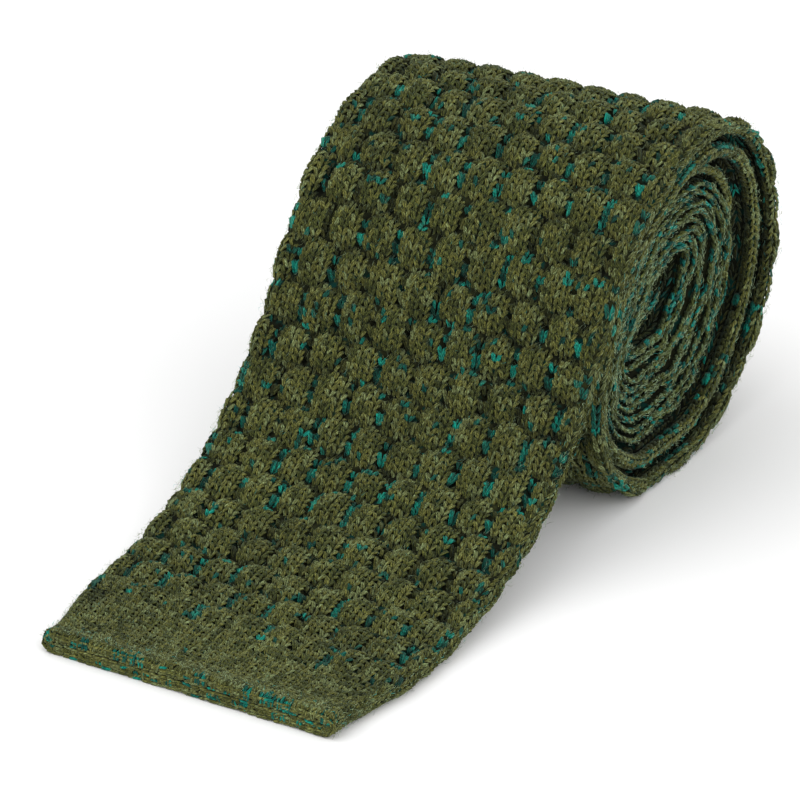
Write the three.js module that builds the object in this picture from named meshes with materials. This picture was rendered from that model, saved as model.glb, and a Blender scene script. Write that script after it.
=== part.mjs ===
// A knit tie, rolled up from its narrow end, with its square front end lying forward on the surface.
// The whole tie is one flat tube: two knit layers that lie together, with a slit between them.
// Lengths are in millimetres. X runs across the tie, Y from the front end to the back of the roll.
import * as THREE from 'three';

// Widths and thicknesses of the flat tube, over both of its layers
const blade_width = 70;
const blade_thickness = 4.3;
const end_width = 64.5;
const end_thickness = 3.9;
const neck_width = 62;
const neck_thickness = 1.55;
const tail_width = 57;
const tail_thickness = 2.4;
const layer_gap = 0.3;
const mouth_gap = 0.9;

// Lengths along the tie
const end_length = 15;
const widening_length = 28;
const skew_length = 62;
const sway_length = 120;
const piece_gap = 0.3;

// The roll is an oval, its long axis tilted up towards the back, and its underside pressed flat
const roll_long = 78;
const roll_short = 64.6;
const roll_tilt = 27;
const rest_press = 1.2;
const core_height = 8;
const edge_wander = 0.8;

// The flap comes off the roll's top and reaches forward from the roll's middle to the hem
const flap_reach = 129;
const hem_skew = 6;
const hem_sway = 1.5;

// Turns of the roll, counted from where the flap lifts off
const lift_off = -1 / 8;
const settle_start = 0.66;
const settle_end = 0.84;
const wide_turns = 2;
const narrowing_turns = 0.45;
const tail_turns = 1.25;
const steps_per_turn = 24;
const flap_step = 6;

// Middle of the flap, from its front end to the roll:
// out is its distance from the roll's middle as a share of flap_reach,
// lift its height over the surface as a share of roll_short
const flap_rows = [
  { out: 0.8, lift: 0 },
  { out: 0.725, lift: 0.009 },
  { out: 0.64, lift: 0.04 },
  { out: 0.54, lift: 0.101 },
  { out: 0.455, lift: 0.186 },
  { out: 0.38, lift: 0.302 },
  { out: 0.32, lift: 0.428 },
  { out: 0.27, lift: 0.563 },
];

// Cross section of the tube: side is a share of half the width, depth of half the thickness.
// inset pulls a point in from the fold by a share of the thickness.
const fold_section = [
  { side: 1, depth: -0.4, inset: 0 },
  { side: 1, depth: 0.4, inset: 0 },
  { side: 1, depth: 1, inset: 0.45 },
  { side: -1, depth: 1, inset: 0.45 },
  { side: -1, depth: 0.4, inset: 0 },
  { side: -1, depth: -0.4, inset: 0 },
  { side: -1, depth: -1, inset: 0.45 },
  { side: 1, depth: -1, inset: 0.45 },
];
const slit_section = [
  { side: 1, depth: -1, inset: 0.5 },
  { side: 1, depth: 1, inset: 0.5 },
  { side: -1, depth: 1, inset: 0.5 },
  { side: -1, depth: -1, inset: 0.5 },
];

const tilt = THREE.MathUtils.degToRad(roll_tilt);
const lowest = Math.hypot((roll_long / 2) * Math.sin(tilt), (roll_short / 2) * Math.cos(tilt));
const middle_height = lowest - rest_press;

// A point of the roll, some turns on from its top towards the back, at a depth under its outside
function roll_point(turn, inset) {
  const angle = turn * 2 * Math.PI + tilt;
  const along = (roll_long / 2 - inset) * Math.sin(angle);
  const up = (roll_short / 2 - inset) * Math.cos(angle);
  const y = along * Math.cos(tilt) - up * Math.sin(tilt);
  const z = middle_height + along * Math.sin(tilt) + up * Math.cos(tilt);
  return new THREE.Vector2(y, Math.max(z, inset));
}

function smooth_step(value, start, end) {
  return THREE.MathUtils.smoothstep(value, start, end);
}

// How thick the tube is after a number of turns, up to the tail
function wound_thickness(turns) {
  const share = smooth_step(turns, wide_turns, wide_turns + narrowing_turns);
  return THREE.MathUtils.lerp(blade_thickness, neck_thickness, share);
}

// Each turn lies against the one outside it, which gives the depth of its outer face.
// The neck winds on until only the tail and the hollow core are left.
function wind_roll() {
  const steps = [];
  const tail_steps = Math.round(tail_turns * steps_per_turn);
  const tail_room = tail_turns * (tail_thickness + piece_gap);
  const neck_depth = roll_short / 2 - core_height / 2 - tail_room;
  let tail_start = Infinity;
  for (let index = 0; index < tail_start + tail_steps; index += 1) {
    const turns = index / steps_per_turn;
    const outside = steps[index - steps_per_turn];
    const settled = (blade_thickness + piece_gap) * smooth_step(turns + lift_off, settle_start, settle_end);
    const inset = outside ? outside.inset + outside.thickness + piece_gap : settled;
    const past_narrowing = turns > wide_turns + narrowing_turns;
    if (tail_start === Infinity && past_narrowing && inset > neck_depth) tail_start = index;
    const thickness = index > tail_start ? tail_thickness : wound_thickness(turns);
    steps.push({ turns, inset, thickness });
  }
  return { steps, tail_start };
}

const roll = wind_roll();
const end_turns = roll.steps[roll.steps.length - 1].turns;

function wound_width(turns) {
  const narrowed = THREE.MathUtils.mapLinear(turns, wide_turns, end_turns, neck_width, tail_width);
  const share = smooth_step(turns, wide_turns - narrowing_turns, wide_turns + narrowing_turns);
  return THREE.MathUtils.lerp(blade_width, narrowed, share);
}

// A station is one cross section: its outer and inner face, its width and where its middle lies on X
function roll_station(step) {
  const turn = lift_off + step.turns;
  return {
    face: roll_point(turn, step.inset),
    back: roll_point(turn, step.inset + step.thickness),
    width: wound_width(step.turns),
    shift: edge_wander * Math.sin(2.6 * Math.PI * step.turns),
    skew: 0,
    slit: layer_gap,
  };
}

function flap_middle(row) {
  const height = blade_thickness / 2 + row.lift * roll_short;
  return new THREE.Vector3(0, -row.out * flap_reach, height);
}

function roll_middle(step) {
  const station = roll_station(step);
  const middle = station.face.clone().add(station.back).multiplyScalar(0.5);
  return new THREE.Vector3(0, middle.x, middle.y);
}

// The hem's skew and its sway to one side die out along the flap, and its width grows to the blade's
function front_form(distance) {
  return {
    width: THREE.MathUtils.lerp(end_width, blade_width, smooth_step(distance, 0, widening_length)),
    shift: -hem_sway * (1 - smooth_step(distance, 0, sway_length)),
    skew: hem_skew * (1 - smooth_step(distance, 0, skew_length)),
  };
}

// The flap follows one smooth curve from the end band up to the roll, and the roll's first steps
// guide its last bend
function flap_stations() {
  const joint = { out: 1 - (end_length + piece_gap) / flap_reach, lift: 0 };
  const guides = [joint, ...flap_rows].map(flap_middle);
  const last = guides.length;
  guides.push(...roll.steps.slice(0, 3).map(roll_middle));
  const curve = new THREE.CatmullRomCurve3(guides, false, 'centripetal');
  const stations = [];
  let distance = end_length + piece_gap;
  let previous = guides[0];
  for (let row = 0; row < last; row += 1) {
    const chord = guides[row].distanceTo(guides[row + 1]);
    const count = Math.max(1, Math.round(chord / flap_step));
    for (let part = 0; part < count; part += 1) {
      const share = (row + part / count) / (guides.length - 1);
      const middle = curve.getPoint(share);
      const ahead = curve.getTangent(share);
      distance += middle.distanceTo(previous);
      previous = middle;
      const half = new THREE.Vector2(-ahead.z, ahead.y).multiplyScalar(blade_thickness / 2);
      const centre = new THREE.Vector2(middle.y, middle.z);
      centre.y += Math.max(0, half.y - centre.y);
      stations.push({
        face: centre.clone().add(half),
        back: centre.clone().sub(half),
        ...front_form(distance),
        slit: layer_gap,
      });
    }
  }
  return stations;
}

// The plain band lies flat on the surface, and its two layers part at the mouth
function end_stations() {
  const stations = [];
  const steps = 4;
  for (let index = 0; index <= steps; index += 1) {
    const distance = (end_length * index) / steps;
    const y = distance - flap_reach;
    stations.push({
      face: new THREE.Vector2(y, end_thickness),
      back: new THREE.Vector2(y, 0),
      ...front_form(distance),
      slit: THREE.MathUtils.lerp(mouth_gap, layer_gap, index / steps),
    });
  }
  return stations;
}

// Where one piece ends, the next starts a small gap further along the tie
function start_after(station) {
  const across = station.face.clone().sub(station.back).normalize();
  const ahead = new THREE.Vector2(across.y, -across.x).multiplyScalar(piece_gap);
  return { ...station, face: station.face.clone().add(ahead), back: station.back.clone().add(ahead) };
}

function section_points(station, section, depth_size) {
  const thickness = station.face.distanceTo(station.back);
  const middle = station.face.clone().add(station.back).multiplyScalar(0.5);
  const across = station.face.clone().sub(station.back).divideScalar(thickness);
  const ahead = new THREE.Vector2(across.y, -across.x);
  return section.map((row) => {
    const x = row.side * (station.width / 2 - row.inset * thickness);
    const depth = (row.depth * depth_size) / 2;
    const slide = (-station.skew * x) / station.width;
    const y = middle.x + across.x * depth + ahead.x * slide;
    const z = middle.y + across.y * depth + ahead.y * slide;
    return new THREE.Vector3(x + station.shift, y, Math.max(z, 0));
  });
}

// Triangles of the ring between the fold outline and the slit, at an open end of the tube
function ring_faces(station) {
  const flat = (section, depth_size) => section.map((row) => {
    const thickness = station.face.distanceTo(station.back);
    const x = row.side * (station.width / 2 - row.inset * thickness);
    return new THREE.Vector2(x, (row.depth * depth_size) / 2);
  });
  const outline = flat(fold_section, station.face.distanceTo(station.back));
  const hole = flat(slit_section, station.slit);
  return THREE.ShapeUtils.triangulateShape(outline, [hole]);
}

function flat_tube(stations) {
  const positions = [];
  const faces = [];
  const outer = fold_section.length;
  const inner = slit_section.length;
  const ring = outer + inner;
  for (const station of stations) {
    const thickness = station.face.distanceTo(station.back);
    positions.push(...section_points(station, fold_section, thickness));
    positions.push(...section_points(station, slit_section, station.slit));
  }
  const join = (first, count, outward) => {
    for (let row = 0; row < stations.length - 1; row += 1) {
      for (let side = 0; side < count; side += 1) {
        const here = row * ring + first + side;
        const next = row * ring + first + ((side + 1) % count);
        const corners = [here, here + ring, next + ring, next];
        if (!outward) corners.reverse();
        faces.push(corners[0], corners[1], corners[2], corners[0], corners[2], corners[3]);
      }
    }
  };
  join(0, outer, true);
  join(outer, inner, false);
  const last = (stations.length - 1) * ring;
  for (const [a, b, c] of ring_faces(stations[0])) faces.push(a, b, c);
  for (const [a, b, c] of ring_faces(stations[stations.length - 1])) faces.push(last + a, last + c, last + b);
  const geometry = new THREE.BufferGeometry().setFromPoints(positions);
  geometry.setIndex(faces);
  geometry.computeVertexNormals();
  return geometry;
}

function knit_piece(name, stations, colour) {
  const material = new THREE.MeshStandardMaterial({ color: colour, roughness: 0.95, metalness: 0 });
  const mesh = new THREE.Mesh(flat_tube(stations), material);
  mesh.name = name;
  return mesh;
}

const wide_end = Math.round((wide_turns + narrowing_turns) * steps_per_turn);
const turns = roll.steps.map(roll_station);
const neck_turns = turns.slice(wide_end, roll.tail_start + 1);
const tail_piece = turns.slice(roll.tail_start);
neck_turns[0] = start_after(neck_turns[0]);
tail_piece[0] = start_after(turns[roll.tail_start]);

const tie = new THREE.Group();
tie.add(knit_piece('end_band', end_stations(), 0x3d4630));
tie.add(knit_piece('front_blade', [...flap_stations(), ...turns.slice(0, wide_end + 1)], 0x3c452b));
tie.add(knit_piece('neck_band', neck_turns, 0x39442c));
tie.add(knit_piece('tail_blade', tail_piece, 0x35402a));

// The origin is the bottom middle of the rolled tie
const box = new THREE.Box3().setFromObject(tie);
tie.position.set(-(box.min.x + box.max.x) / 2, -(box.min.y + box.max.y) / 2, -box.min.z);

export default tie;
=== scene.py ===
import math

import bpy
import numpy as np
from mathutils import Matrix, Vector


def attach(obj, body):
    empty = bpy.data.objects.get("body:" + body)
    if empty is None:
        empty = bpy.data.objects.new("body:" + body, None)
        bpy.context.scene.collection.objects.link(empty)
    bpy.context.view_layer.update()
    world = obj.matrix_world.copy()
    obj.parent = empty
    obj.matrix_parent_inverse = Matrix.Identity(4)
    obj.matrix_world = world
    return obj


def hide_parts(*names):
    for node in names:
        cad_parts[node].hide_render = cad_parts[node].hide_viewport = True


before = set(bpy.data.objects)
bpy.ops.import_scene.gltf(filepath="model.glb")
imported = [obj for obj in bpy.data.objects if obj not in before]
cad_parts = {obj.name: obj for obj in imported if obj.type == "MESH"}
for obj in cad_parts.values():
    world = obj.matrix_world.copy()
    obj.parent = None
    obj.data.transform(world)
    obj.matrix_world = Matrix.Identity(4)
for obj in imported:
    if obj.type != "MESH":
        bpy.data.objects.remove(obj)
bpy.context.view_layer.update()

# The tie's path and sections, in millimetres, as in its CAD model
BLADE_WIDTH = 70
BLADE_THICKNESS = 4.3
END_WIDTH = 64.5
END_THICKNESS = 3.9
NECK_WIDTH = 62
NECK_THICKNESS = 1.55
TAIL_WIDTH = 57
TAIL_THICKNESS = 2.4
LAYER_GAP = 0.3
MOUTH_GAP = 0.9
END_LENGTH = 15
WIDENING_LENGTH = 28
SKEW_LENGTH = 62
SWAY_LENGTH = 120
PIECE_GAP = 0.3
ROLL_LONG = 78
ROLL_SHORT = 64.6
ROLL_TILT = math.radians(27)
REST_PRESS = 1.2
CORE_HEIGHT = 8
FLAP_REACH = 129
HEM_SKEW = 6
HEM_SWAY = 1.5
HEM_SWELL = 1.2
LIFT_OFF = -1 / 8
SETTLE_START = 0.66
SETTLE_END = 0.84
WIDE_TURNS = 2
NARROWING_TURNS = 0.45
TAIL_TURNS = 1.25
STEPS_PER_TURN = 24
FLAP_ROWS = [
    (0.8, 0), (0.725, 0.009), (0.64, 0.04), (0.54, 0.101),
    (0.455, 0.186), (0.38, 0.302), (0.32, 0.428), (0.27, 0.563),
]
HALF_ROLL = math.hypot(ROLL_LONG / 2 * math.sin(ROLL_TILT), ROLL_SHORT / 2 * math.cos(ROLL_TILT))
ROLL_HEIGHT = HALF_ROLL - REST_PRESS
HEM_ZONE = 3
FLOOR_CLEARANCE = 0.01
FINE_TURN = 1 / 480

# The knit, counted in wales across and courses along
BLADE_WALES = 76
NECK_WALES = 66
COURSE_AT_HEM = 1.24
COURSE_AT_TOP = 1.45
COURSE_GROWTH = 160
LAST_COURSE = 1300
BUBBLE_WALES = 4
HALF_BUBBLE = 2
BUBBLE_COURSES = 6
BUBBLE_COLUMNS = BLADE_WALES // BUBBLE_WALES
FIRST_COURSE = 15
LUCK_ROWS = 1400
LUCK_COLUMNS = 40
BUBBLE_HEIGHT = 2.15
BUBBLE_SINK = 1.1
BUBBLE_HALF_WALES = 2.35
BUBBLE_HALF_COURSES = 3.55
BUBBLE_SPREAD = 0.1
VALLEY_DIP = 0.35
LIP_GROOVE = 1.55
YARN_HALF = 0.25
HEM_YARN_HALF = 0.22
PLY_OFFSET = 0.19
SLANT = 0.056
WALE = 1.9
YARN_TWIST = 2.4

# How the folds lie on the roll: turns from where the flap lifts off, mm sideways, and mm both draw in
EDGE_ROWS = [
    (0, 0, 0), (0.2, -0.1, 0), (0.42, 0.9, 0), (0.6, 0.3, 0.2), (0.7, 0.1, 0.6), (0.8, 0.2, 0.8),
    (0.9, 0.3, 0.8), (1.1, 0.2, 0.8), (1.3, -0.2, 1.0), (1.6, 0.3, 1.3), (1.8, 0.3, 2.0), (2.0, 0.1, 2.0),
    (2.3, -0.5, 0.6), (2.8, 0.7, 0), (3.2, -0.6, 0), (3.7, 0.7, 0), (4.2, -0.6, 0), (4.9, 0.7, 0),
    (5.5, -0.6, 0), (6.3, 0.6, 0), (7.2, -0.6, 0), (8.4, 0.6, 0), (9.6, -0.4, 0), (14, 0, 0),
]

# How the thin inner turns wave sideways: wavelength along the tie and height of the wave, in mm
INNER_WAVES = ((23.0, 0.35), (9.5, 0.22))

MM = 0.001
rng = np.random.default_rng(7)


def smooth_step(value, start, end):
    share = np.clip((np.asarray(value, float) - start) / (end - start), 0, 1)
    return share * share * (3 - 2 * share)


def roll_point(turn, inset):
    angle = turn * 2 * np.pi + ROLL_TILT
    along = (ROLL_LONG / 2 - inset) * np.sin(angle)
    up = (ROLL_SHORT / 2 - inset) * np.cos(angle)
    y = along * math.cos(ROLL_TILT) - up * math.sin(ROLL_TILT)
    z = ROLL_HEIGHT + along * math.sin(ROLL_TILT) + up * math.cos(ROLL_TILT)
    return np.stack([y, np.maximum(z, inset)], -1)


# Depth and thickness of each step of the roll, wound from the outside in
def wind_roll():
    steps = []
    tail_steps = round(TAIL_TURNS * STEPS_PER_TURN)
    neck_depth = ROLL_SHORT / 2 - CORE_HEIGHT / 2 - TAIL_TURNS * (TAIL_THICKNESS + PIECE_GAP)
    tail_start = None
    index = 0
    while tail_start is None or index < tail_start + tail_steps:
        turns = index / STEPS_PER_TURN
        settled = smooth_step(turns + LIFT_OFF, SETTLE_START, SETTLE_END)
        inset = float((BLADE_THICKNESS + PIECE_GAP) * settled)
        if index >= STEPS_PER_TURN:
            outside = steps[index - STEPS_PER_TURN]
            inset = outside[1] + outside[2] + PIECE_GAP
        narrow = smooth_step(turns, WIDE_TURNS, WIDE_TURNS + NARROWING_TURNS)
        if tail_start is None and turns > WIDE_TURNS + NARROWING_TURNS and inset > neck_depth:
            tail_start = index
        thickness = BLADE_THICKNESS + (NECK_THICKNESS - BLADE_THICKNESS) * float(narrow)
        if tail_start is not None and index > tail_start:
            thickness = TAIL_THICKNESS
        steps.append((turns, inset, thickness))
        index += 1
    return np.array(steps), tail_start


# A curve through points, whose knots are spaced by the square root of the chords
def curve_points(points, per_span):
    ends = np.vstack([2 * points[0] - points[1], points, 2 * points[-1] - points[-2]])
    rows = []
    for first in range(len(points) - 1):
        p0, p1, p2, p3 = ends[first:first + 4]
        d0, d1, d2 = (np.sqrt(np.linalg.norm(b - a)) for a, b in ((p0, p1), (p1, p2), (p2, p3)))
        start = ((p1 - p0) / d0 - (p2 - p0) / (d0 + d1) + (p2 - p1) / d1) * d1
        end = ((p2 - p1) / d1 - (p3 - p1) / (d1 + d2) + (p3 - p2) / d2) * d1
        t = (np.arange(per_span) / per_span)[:, None]
        rows.append(p1 + t * start + t ** 2 * (-3 * p1 + 3 * p2 - 2 * start - end)
                    + t ** 3 * (2 * p1 - 2 * p2 + start + end))
    return np.vstack(rows)


# Columns of the path's table: middle line, way out, and sizes
Y, Z, OUT_Y, OUT_Z, THICKNESS, WIDTH, SIDEWAYS, SKEW = range(8)


# The tie's middle line from the hem to the core, as distances, a table and marks along it
def tie_path():
    steps, tail_start = wind_roll()
    fine = np.arange(0, steps[-1, 0] + 1e-9, FINE_TURN)
    inset = np.interp(fine, steps[:, 0], steps[:, 1])
    thick = np.interp(fine, steps[:, 0], steps[:, 2])
    face = roll_point(LIFT_OFF + fine, inset)
    back = roll_point(LIFT_OFF + fine, inset + thick)
    guides = [(-(1 - (END_LENGTH + PIECE_GAP) / FLAP_REACH) * FLAP_REACH, BLADE_THICKNESS / 2)]
    guides += [(-out * FLAP_REACH, BLADE_THICKNESS / 2 + lift * ROLL_SHORT) for out, lift in FLAP_ROWS]
    first = (face + back)[[0, 20, 40]] / 2
    flap = curve_points(np.vstack([guides, first]), 24)[:24 * len(guides)]
    flap[:, 1] = np.maximum(flap[:, 1], BLADE_THICKNESS / 2)
    band_y = np.linspace(-FLAP_REACH, guides[0][0], 40)[:-1]
    swell = HEM_SWELL * (1 - smooth_step(band_y + FLAP_REACH, 0, 7))
    band = np.stack([band_y, (END_THICKNESS + swell) / 2], 1)
    middle = np.vstack([band, flap, (face + back) / 2])
    distance = np.concatenate([[0], np.cumsum(np.linalg.norm(np.diff(middle, axis=0), axis=1))])
    lift = np.concatenate([np.full(len(band) + len(flap), -1.0), fine])
    roll_start = distance[len(band) + len(flap)]
    thickness = np.concatenate([
        np.interp(distance[:len(band) + len(flap)], [0, END_LENGTH, END_LENGTH + 3],
                  [END_THICKNESS, END_THICKNESS, BLADE_THICKNESS]), thick])
    thickness[:len(band)] += swell
    width = END_WIDTH + (BLADE_WIDTH - END_WIDTH) * smooth_step(distance, 0, WIDENING_LENGTH)
    share = smooth_step(lift, WIDE_TURNS - NARROWING_TURNS, WIDE_TURNS + NARROWING_TURNS)
    narrow = np.interp(lift, [WIDE_TURNS, steps[-1, 0]], [NECK_WIDTH, TAIL_WIDTH])
    width = width + (narrow - BLADE_WIDTH) * share
    sway = -HEM_SWAY * (1 - smooth_step(distance, 0, SWAY_LENGTH))
    edge = np.array(EDGE_ROWS, float)
    wander = np.interp(lift, edge[:, 0], edge[:, 1])
    for wavelength, height in INNER_WAVES:
        wander += height * np.sin(2 * np.pi * distance / wavelength) * smooth_step(lift, 1.5, 2.5)
    width = width - 2 * np.interp(lift, edge[:, 0], edge[:, 2])
    ahead = np.gradient(middle, axis=0)
    ahead /= np.linalg.norm(ahead, axis=1)[:, None]
    across = np.stack([-ahead[:, 1], ahead[:, 0]], 1)
    skew = HEM_SKEW * (1 - smooth_step(distance, 0, SKEW_LENGTH))
    marks = {
        "roll": roll_start,
        "turns": fine,
        "distances": distance[-len(fine):],
        "wide_end": WIDE_TURNS + NARROWING_TURNS,
        "tail": steps[tail_start, 0],
        "end": distance[-1],
    }
    table = np.column_stack([middle, across, thickness, width, sway + wander, skew])
    return distance, table, marks


DISTANCE, TABLE, MARKS = tie_path()


# The distance along the tie at a number of turns
def turn_at(turns):
    return np.interp(turns, MARKS["turns"], MARKS["distances"])


def path_at(distance):
    return np.stack([np.interp(distance, DISTANCE, column) for column in TABLE.T], -1)


# A point on the tie: wale is counted round the flat tube from the middle of its upper face, distance runs
# along the tie in mm, and depth lifts the point off the surface. Gives the point and its outward normal.
def place(wale, distance, depth, wales):
    wale, distance, depth = np.broadcast_arrays(np.asarray(wale, float), distance, depth)
    row = path_at(distance)
    radius = row[..., THICKNESS] / 2
    flat = row[..., WIDTH] / 2 - radius
    around = 4 * flat + 2 * np.pi * radius
    c = (wale * around / wales + around / 2) % around - around / 2
    side = np.sign(c)
    bend = np.clip((np.abs(c) - flat) / radius, 0, np.pi)
    over = np.abs(c) > flat + np.pi * radius
    rounded = np.minimum(np.abs(c), flat) + radius * np.sin(bend)
    out_x, out_n = side * np.sin(bend), np.cos(bend)
    x = side * np.where(over, around / 2 - np.abs(c), rounded) + out_x * depth
    lift = radius * out_n + out_n * depth
    slid = path_at(distance - row[..., SKEW] * x / row[..., WIDTH])
    middle = np.where((distance > HEM_ZONE)[..., None], slid[..., :2], row[..., :2])
    ahead = np.stack([row[..., OUT_Z], -row[..., OUT_Y]], -1)
    near_hem = np.where(distance > HEM_ZONE, 0, -row[..., SKEW] * x / row[..., WIDTH])
    y = middle[..., 0] + row[..., OUT_Y] * lift + ahead[..., 0] * near_hem
    z = middle[..., 1] + row[..., OUT_Z] * lift + ahead[..., 1] * near_hem
    point = np.stack([x + row[..., SIDEWAYS], y, np.maximum(z, FLOOR_CLEARANCE)], -1)
    normal = np.stack([out_x, row[..., OUT_Y] * out_n, row[..., OUT_Z] * out_n], -1)
    return point, normal


def origin_shift():
    wales = np.linspace(0, BLADE_WALES, 200)[None, :]
    points, _ = place(wales, DISTANCE[:, None], 0.0, BLADE_WALES)
    low, high = points.reshape(-1, 3).min(0), points.reshape(-1, 3).max(0)
    return np.array([-(low[0] + high[0]) / 2, -(low[1] + high[1]) / 2, 0])


SHIFT = origin_shift()


# Courses are shorter near the hem than on the roll
def course_distance(course):
    course = np.asarray(course, float)
    grown = np.minimum(course, COURSE_GROWTH)
    slope = (COURSE_AT_TOP - COURSE_AT_HEM) / COURSE_GROWTH
    return COURSE_AT_HEM * grown + slope * grown ** 2 / 2 + COURSE_AT_TOP * (course - grown)


# A course lies lower on the right, as the knit is a slight screw
def knit_distance(wale, course, wales):
    side = (np.asarray(wale, float) + wales / 2) % wales - wales / 2
    return course_distance(course) - SLANT * WALE * side


def course_at(distance):
    courses = np.arange(0, LAST_COURSE)
    return np.interp(distance, course_distance(courses), courses)


def bubble_row(course):
    return np.floor((course - FIRST_COURSE) / BUBBLE_COURSES)


# Where a stitch lies in a row of bubbles: its place from the nearest middle, and that bubble's number
def bubble_place(wale, course, row):
    stepped = wale - HALF_BUBBLE * (row % 2) + HALF_BUBBLE
    across = stepped % BUBBLE_WALES - HALF_BUBBLE
    along = course - FIRST_COURSE - (row + 0.5) * BUBBLE_COURSES
    return across, along, np.floor(stepped / BUBBLE_WALES)


# Each bubble is a little larger or smaller than the next
bubble_sizes = rng.uniform(0.76, 1.14, (LUCK_ROWS, BUBBLE_COLUMNS))


def relief(wale, course):
    wale, course = np.broadcast_arrays(np.asarray(wale, float), np.asarray(course, float))
    row = bubble_row(course)
    dome = np.zeros_like(wale)
    dip = np.zeros_like(wale)
    for near in (-1, 0, 1):
        k = row + near
        across, along, column = bubble_place(wale, course, k)
        size = bubble_sizes[k.astype(int) % LUCK_ROWS, column.astype(int) % BUBBLE_COLUMNS]
        radius = ((across / BUBBLE_HALF_WALES) ** 2 + (along / BUBBLE_HALF_COURSES) ** 2) / size
        dome = np.maximum(dome, np.clip(1 - radius, 0, 1) ** 0.6 * (0.6 + 0.4 * size))
        valley = np.exp(-((HALF_BUBBLE - np.abs(across)) / 0.6) ** 2 - ((along + 0.6) / 1.6) ** 2)
        dip = np.maximum(dip, valley)
    started = smooth_step(course, FIRST_COURSE - 2, FIRST_COURSE + 2)
    height = BUBBLE_HEIGHT * dome - BUBBLE_SINK - VALLEY_DIP * dip
    grown = 0.6 + 0.4 * smooth_step(course, FIRST_COURSE, FIRST_COURSE + 26)
    return -0.15 + (height + 0.15) * started * grown


# The share of the relief that is kept: all of it on open faces, little where turns lie on each other
def open_share(wale, distance, wales):
    half = wales / 2
    c = np.abs((np.asarray(wale, float) + half) % wales - half)
    upper = 1 - smooth_step(c, half / 2 - 1, half / 2 + 1)
    upper_open = 1 - smooth_step(distance, turn_at(0.94), turn_at(1.02))
    lower_open = 1 - smooth_step(distance, MARKS["roll"] - 12, MARKS["roll"] + 4)
    return upper * upper_open + (1 - upper) * lower_open


# How far round the quarter turn at a fold a wale lies: 0 on the fold, 1 where the flat side starts
def fold_share(wale, distance, wales):
    off_fold = np.abs(np.abs((np.asarray(wale, float) + wales / 2) % wales - wales / 2) - wales / 4)
    return off_fold * WALE / (path_at(distance)[..., THICKNESS] * np.pi / 4)


# Each fold stands out in a lip, and both layers thin out beside it, which leaves gaps between the turns
def fold_form(wale, distance, wales):
    share = fold_share(wale, distance, wales)
    facing = np.cos(2 * np.pi * np.asarray(wale, float) / wales)
    rolled = smooth_step(distance, 60, 100)
    outer = np.where(facing > 0, share, -share)
    lip = 0.55 * np.exp(-((outer - 0.4 * rolled) / 0.5) ** 2)
    shoulder = 0.6 * np.exp(-((share - 1.45) / 0.55) ** 2)
    groove = LIP_GROOVE * rolled * np.exp(-((outer + 1.05) / 0.75) ** 2)
    return (lip - shoulder - groove) * smooth_step(distance, 4, 20)


def surface_depth(wale, course, wales):
    distance = knit_distance(wale, course, wales)
    by_fold = np.exp(-(fold_share(wale, distance, wales) / 1.7) ** 2)
    kept = open_share(wale, distance, wales) * (1 - 0.6 * by_fold)
    full = relief(wale, course)
    depth = np.minimum(full, -0.1) * 0.35 * (1 - kept) + full * kept
    return depth + fold_form(wale, distance, wales) * path_at(distance)[..., THICKNESS] / BLADE_THICKNESS


# A point of the knit by wale and course, where both wander a little as in a worn knit
def knit_point(wale, course, depth, wales):
    wale, course = np.broadcast_arrays(np.asarray(wale, float), np.asarray(course, float))
    wandered = wale + 0.16 * np.sin(0.13 * course + 0.4 * np.sin(0.2 * wale))
    wandered = wandered + 0.1 * np.sin(0.31 * course + wale)
    distance = knit_distance(wale, course, wales)
    row_turn = (course - FIRST_COURSE) / BUBBLE_COURSES - 0.5
    spread = np.sin(2 * np.pi * wale / BUBBLE_WALES) * np.cos(np.pi * row_turn)
    wandered = wandered + BUBBLE_SPREAD * spread * smooth_step(course, FIRST_COURSE - 1, FIRST_COURSE + 3)
    swayed = 0.28 * np.sin(0.35 * wale + 0.06 * course) + 0.14 * np.sin(0.9 * wale - 0.2 * course)
    return place(wandered, distance + swayed * smooth_step(distance, 2, 12), depth, wales)


def new_mesh(name, points, faces, counts, material, uvs, floats):
    me = bpy.data.meshes.new(name)
    me.vertices.add(len(points))
    me.vertices.foreach_set("co", ((points + SHIFT) * MM).ravel().astype(np.float32))
    me.loops.add(len(faces))
    me.loops.foreach_set("vertex_index", faces.astype(np.int32))
    me.polygons.add(len(counts))
    starts = np.concatenate([[0], np.cumsum(counts)[:-1]])
    me.polygons.foreach_set("loop_start", starts.astype(np.int32))
    me.update(calc_edges=True)
    me.polygons.foreach_set("use_smooth", np.ones(len(counts), bool))
    layer = me.uv_layers.new(name="OFBake")
    layer.data.foreach_set("uv", uvs.ravel().astype(np.float32))
    for label, values in floats:
        kind = "FLOAT_VECTOR" if values.ndim == 2 else "FLOAT"
        attribute = me.attributes.new(label, kind, "POINT")
        key = "vector" if values.ndim == 2 else "value"
        attribute.data.foreach_set(key, values.ravel().astype(np.float32))
    me.validate()
    piece = bpy.data.objects.new(name, me)
    bpy.context.scene.collection.objects.link(piece)
    me.materials.append(material)
    return piece


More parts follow.
